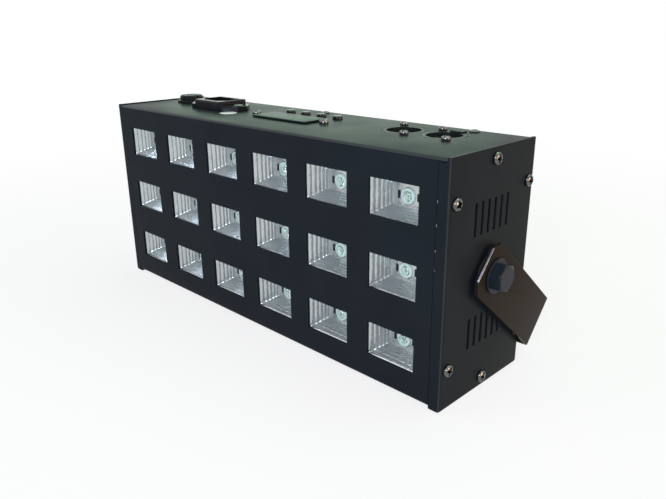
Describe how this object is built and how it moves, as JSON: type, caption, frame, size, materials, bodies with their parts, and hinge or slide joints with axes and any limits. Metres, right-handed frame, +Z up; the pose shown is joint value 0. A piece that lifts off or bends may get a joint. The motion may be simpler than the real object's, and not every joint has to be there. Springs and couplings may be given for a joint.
{
  "type": "led uv wash light",
  "caption": "Ultraviolet wash light: black folded steel housing with rows of stepped mirror reflectors, panel sockets and display on top, and a tilting U bracket.",
  "frame": {"origin": "centre of the whole object's bounding box at floor level, with the bracket at rest", "axes": "+X to the right seen from the front, +Y to the back, +Z up; the reflectors look along -Y"},
  "size_m": [0.3104, 0.0972, 0.1322],
  "materials": {
    "powder_coat": "semi-gloss black powder coat",
    "bracket_coat": "semi-gloss black powder coat",
    "reflector": "aluminised plastic, bright",
    "emitter": "clear dome over a white body",
    "led_board": "white solder mask",
    "aluminium": "mill finish",
    "circuit_board": "green solder mask",
    "screw": "nickel plated steel",
    "display_window": "tinted, glossy",
    "button": "glossy black",
    "socket_plastic": "black moulded plastic",
    "spacer": "black nylon",
    "pivot_bolt": "glossy black zinc"
  },
  "bodies": {
    "housing": {"front_shell": "powder_coat", "back_cover": "powder_coat", "left_end_panel": "powder_coat", "right_end_panel": "powder_coat", "reflector_tray": "reflector", "emitter_1_1": "emitter", "emitter_1_2": "emitter", "emitter_1_3": "emitter", "emitter_1_4": "emitter", "emitter_1_5": "emitter", "emitter_1_6": "emitter", "emitter_2_1": "emitter", "emitter_2_2": "emitter", "emitter_2_3": "emitter", "emitter_2_4": "emitter", "emitter_2_5": "emitter", "emitter_2_6": "emitter", "emitter_3_1": "emitter", "emitter_3_2": "emitter", "emitter_3_3": "emitter", "emitter_3_4": "emitter", "emitter_3_5": "emitter", "emitter_3_6": "emitter", "led_board": "led_board", "heat_sink": "aluminium", "power_supply": "circuit_board", "control_board": "circuit_board", "display_screw_left": "screw", "display_screw_right": "screw", "cover_screw_left": "screw", "cover_screw_middle": "screw", "cover_screw_right": "screw", "left_screw_top": "screw", "left_screw_bottom": "screw", "left_screw_front_upper": "screw", "left_screw_front_lower": "screw", "left_screw_rear_upper": "screw", "left_screw_rear_lower": "screw", "right_screw_top": "screw", "right_screw_bottom": "screw", "right_screw_front_upper": "screw", "right_screw_front_lower": "screw", "right_screw_rear_upper": "screw", "right_screw_rear_lower": "screw", "display_window": "display_window", "dmx_in": "socket_plastic", "dmx_out": "socket_plastic", "power_inlet": "socket_plastic", "fuse_holder": "socket_plastic", "left_pivot_spacer": "spacer", "right_pivot_spacer": "spacer", "left_pivot_bolt": "pivot_bolt", "right_pivot_bolt": "pivot_bolt"},
    "bracket": {"bracket": "bracket_coat"},
    "button_1": {"button_1": "button"},
    "button_2": {"button_2": "button"},
    "button_3": {"button_3": "button"},
    "button_4": {"button_4": "button"},
    "fuse_cap": {"fuse_cap": "socket_plastic"},
    "dmx_out_latch": {"dmx_out_latch": "socket_plastic"}
  },
  "joints": [
    {"name": "bracket_tilt", "type": "hinge", "parent": "housing", "child": "bracket", "pos_m": [0, -0.01234, 0.064], "axis": [1, 0, 0], "range_deg": [-3.6, 84]},
    {"name": "button_1_press", "type": "slide", "parent": "housing", "child": "button_1", "axis": [0, 0, -1], "range_m": [0, 0.0005], "stiffness_N_per_m": 800, "springref_m": -0.0005},
    {"name": "button_2_press", "type": "slide", "parent": "housing", "child": "button_2", "axis": [0, 0, -1], "range_m": [0, 0.0005], "stiffness_N_per_m": 800, "springref_m": -0.0005},
    {"name": "button_3_press", "type": "slide", "parent": "housing", "child": "button_3", "axis": [0, 0, -1], "range_m": [0, 0.0005], "stiffness_N_per_m": 800, "springref_m": -0.0005},
    {"name": "button_4_press", "type": "slide", "parent": "housing", "child": "button_4", "axis": [0, 0, -1], "range_m": [0, 0.0005], "stiffness_N_per_m": 800, "springref_m": -0.0005},
    {"name": "fuse_cap_turn", "type": "hinge", "parent": "housing", "child": "fuse_cap", "pos_m": [-0.1205, -0.00164, 0.1262], "axis": [0, 0, 1], "range_deg": [0, 90]},
    {"name": "dmx_out_latch_press", "type": "slide", "parent": "housing", "child": "dmx_out_latch", "axis": [0, 0, -1], "range_m": [0, 0.001], "stiffness_N_per_m": 500, "springref_m": -0.0005}
  ]
}
